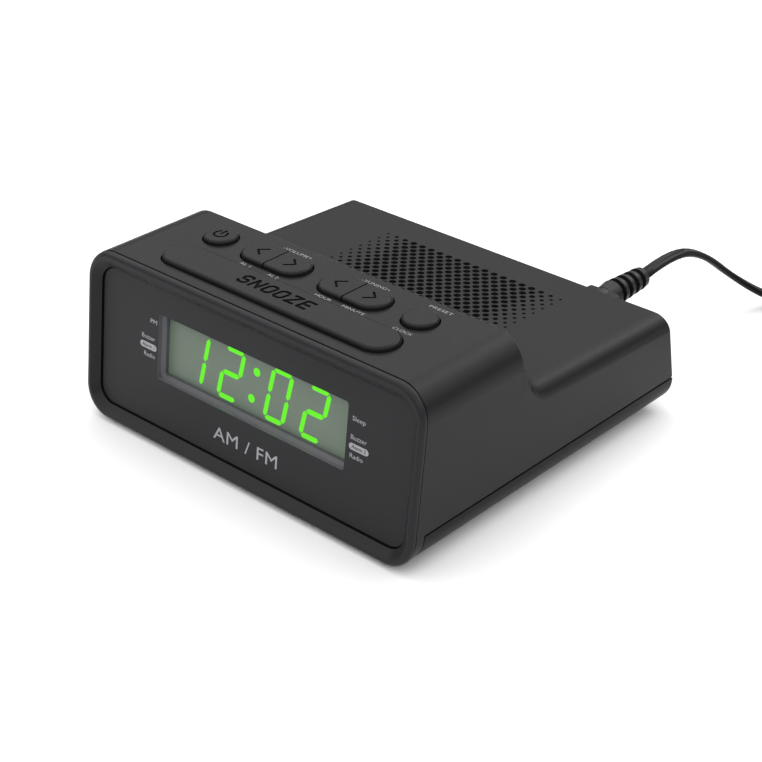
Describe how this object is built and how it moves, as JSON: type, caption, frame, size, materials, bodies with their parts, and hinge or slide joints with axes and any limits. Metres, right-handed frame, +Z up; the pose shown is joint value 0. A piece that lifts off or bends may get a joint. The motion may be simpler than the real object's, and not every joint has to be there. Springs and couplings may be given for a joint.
{
  "type": "clock radio",
  "caption": "Bedside clock radio: low block with keys and a long snooze bar on top, lit digits in the leaning front, a punched speaker deck behind, and a mains cord from the back.",
  "frame": {"origin": "centre of the cabinet's footprint, at the bottom of its rubber feet", "axes": "+X to the right seen from the front, -Y towards the front with the display, +Z up"},
  "size_m": [0.2006, 0.2286, 0.0542],
  "materials": {
    "cabinet": "fine satin texture",
    "bezel": "satin",
    "panel": "satin",
    "holder": "matt",
    "filter": "clear",
    "module": "matt",
    "digits": "lit",
    "buttons": "fine satin texture",
    "plunger": "satin",
    "switch": "satin",
    "circuit": "satin",
    "screw": "zinc plated",
    "capacitor": "sleeved",
    "chip": "matt",
    "ribbon": "satin",
    "basket": "plain",
    "paper": "paper pulp",
    "copper": "enamelled wire",
    "ferrite": "sintered",
    "steel": "laminated",
    "winding": "tape",
    "contact": "nickel plated",
    "foot": "matt",
    "cord": "satin",
    "tie": "matt",
    "blade": "plain"
  },
  "bodies": {
    "cabinet": {"upper_housing": "cabinet", "lower_housing": "cabinet", "front_bezel": "bezel", "front_panel": "panel", "display_holder": "holder", "display_filter": "filter", "display_module": "module", "display_digits": "digits", "display_board": "circuit", "key_switches": "switch", "key_board": "circuit", "main_board": "circuit", "key_board_screws": "screw", "main_board_screws": "screw", "case_screws": "screw", "transformer_screws": "screw", "capacitors": "capacitor", "board_chips": "chip", "ribbon_cable": "ribbon", "speaker_frame": "basket", "speaker_cone": "paper", "dust_cap": "paper", "voice_coil": "copper", "speaker_magnet": "ferrite", "speaker_screws": "screw", "transformer_core": "steel", "transformer_winding": "winding", "transformer_bracket": "steel", "ferrite_rod": "ferrite", "antenna_coil": "copper", "antenna_clips": "panel", "battery_contacts": "contact", "battery_springs": "contact", "rubber_feet": "foot", "strain_relief": "cord", "power_cord": "cord", "plug_lead": "cord", "cord_coil": "cord", "cord_tie": "tie", "plug_body": "cord", "plug_blades": "blade"},
    "power_key": {"power_button": "buttons", "power_plunger": "plunger"},
    "volume_down_key": {"volume_down_button": "buttons", "volume_down_plunger": "plunger"},
    "volume_up_key": {"volume_up_button": "buttons", "volume_up_plunger": "plunger"},
    "tuning_down_key": {"tuning_down_button": "buttons", "tuning_down_plunger": "plunger"},
    "tuning_up_key": {"tuning_up_button": "buttons", "tuning_up_plunger": "plunger"},
    "clock_key": {"clock_button": "buttons", "clock_plunger": "plunger"},
    "snooze_key": {"snooze_bar": "buttons", "snooze_plunger": "plunger"},
    "battery_lid": {"battery_door": "cabinet"}
  },
  "joints": [
    {"name": "power_press", "type": "slide", "parent": "cabinet", "child": "power_key", "axis": [0, 0, -1], "range_m": [0, 0.0008], "stiffness_N_per_m": 350, "springref_m": -0.0003},
    {"name": "volume_down_press", "type": "slide", "parent": "cabinet", "child": "volume_down_key", "axis": [0, 0, -1], "range_m": [0, 0.0008], "stiffness_N_per_m": 350, "springref_m": -0.0003},
    {"name": "volume_up_press", "type": "slide", "parent": "cabinet", "child": "volume_up_key", "axis": [0, 0, -1], "range_m": [0, 0.0008], "stiffness_N_per_m": 350, "springref_m": -0.0003},
    {"name": "tuning_down_press", "type": "slide", "parent": "cabinet", "child": "tuning_down_key", "axis": [0, 0, -1], "range_m": [0, 0.0008], "stiffness_N_per_m": 350, "springref_m": -0.0003},
    {"name": "tuning_up_press", "type": "slide", "parent": "cabinet", "child": "tuning_up_key", "axis": [0, 0, -1], "range_m": [0, 0.0008], "stiffness_N_per_m": 350, "springref_m": -0.0003},
    {"name": "clock_press", "type": "slide", "parent": "cabinet", "child": "clock_key", "axis": [0, 0, -1], "range_m": [0, 0.0008], "stiffness_N_per_m": 350, "springref_m": -0.0003},
    {"name": "snooze_press", "type": "slide", "parent": "cabinet", "child": "snooze_key", "axis": [0, 0, -1], "range_m": [0, 0.0008], "stiffness_N_per_m": 500, "springref_m": -0.0004},
    {"name": "battery_door_hinge", "type": "hinge", "parent": "cabinet", "child": "battery_lid", "pos_m": [0.023, -0.0407, 0.0013], "axis": [-1, 0, 0], "range_deg": [0, 85]}
  ]
}
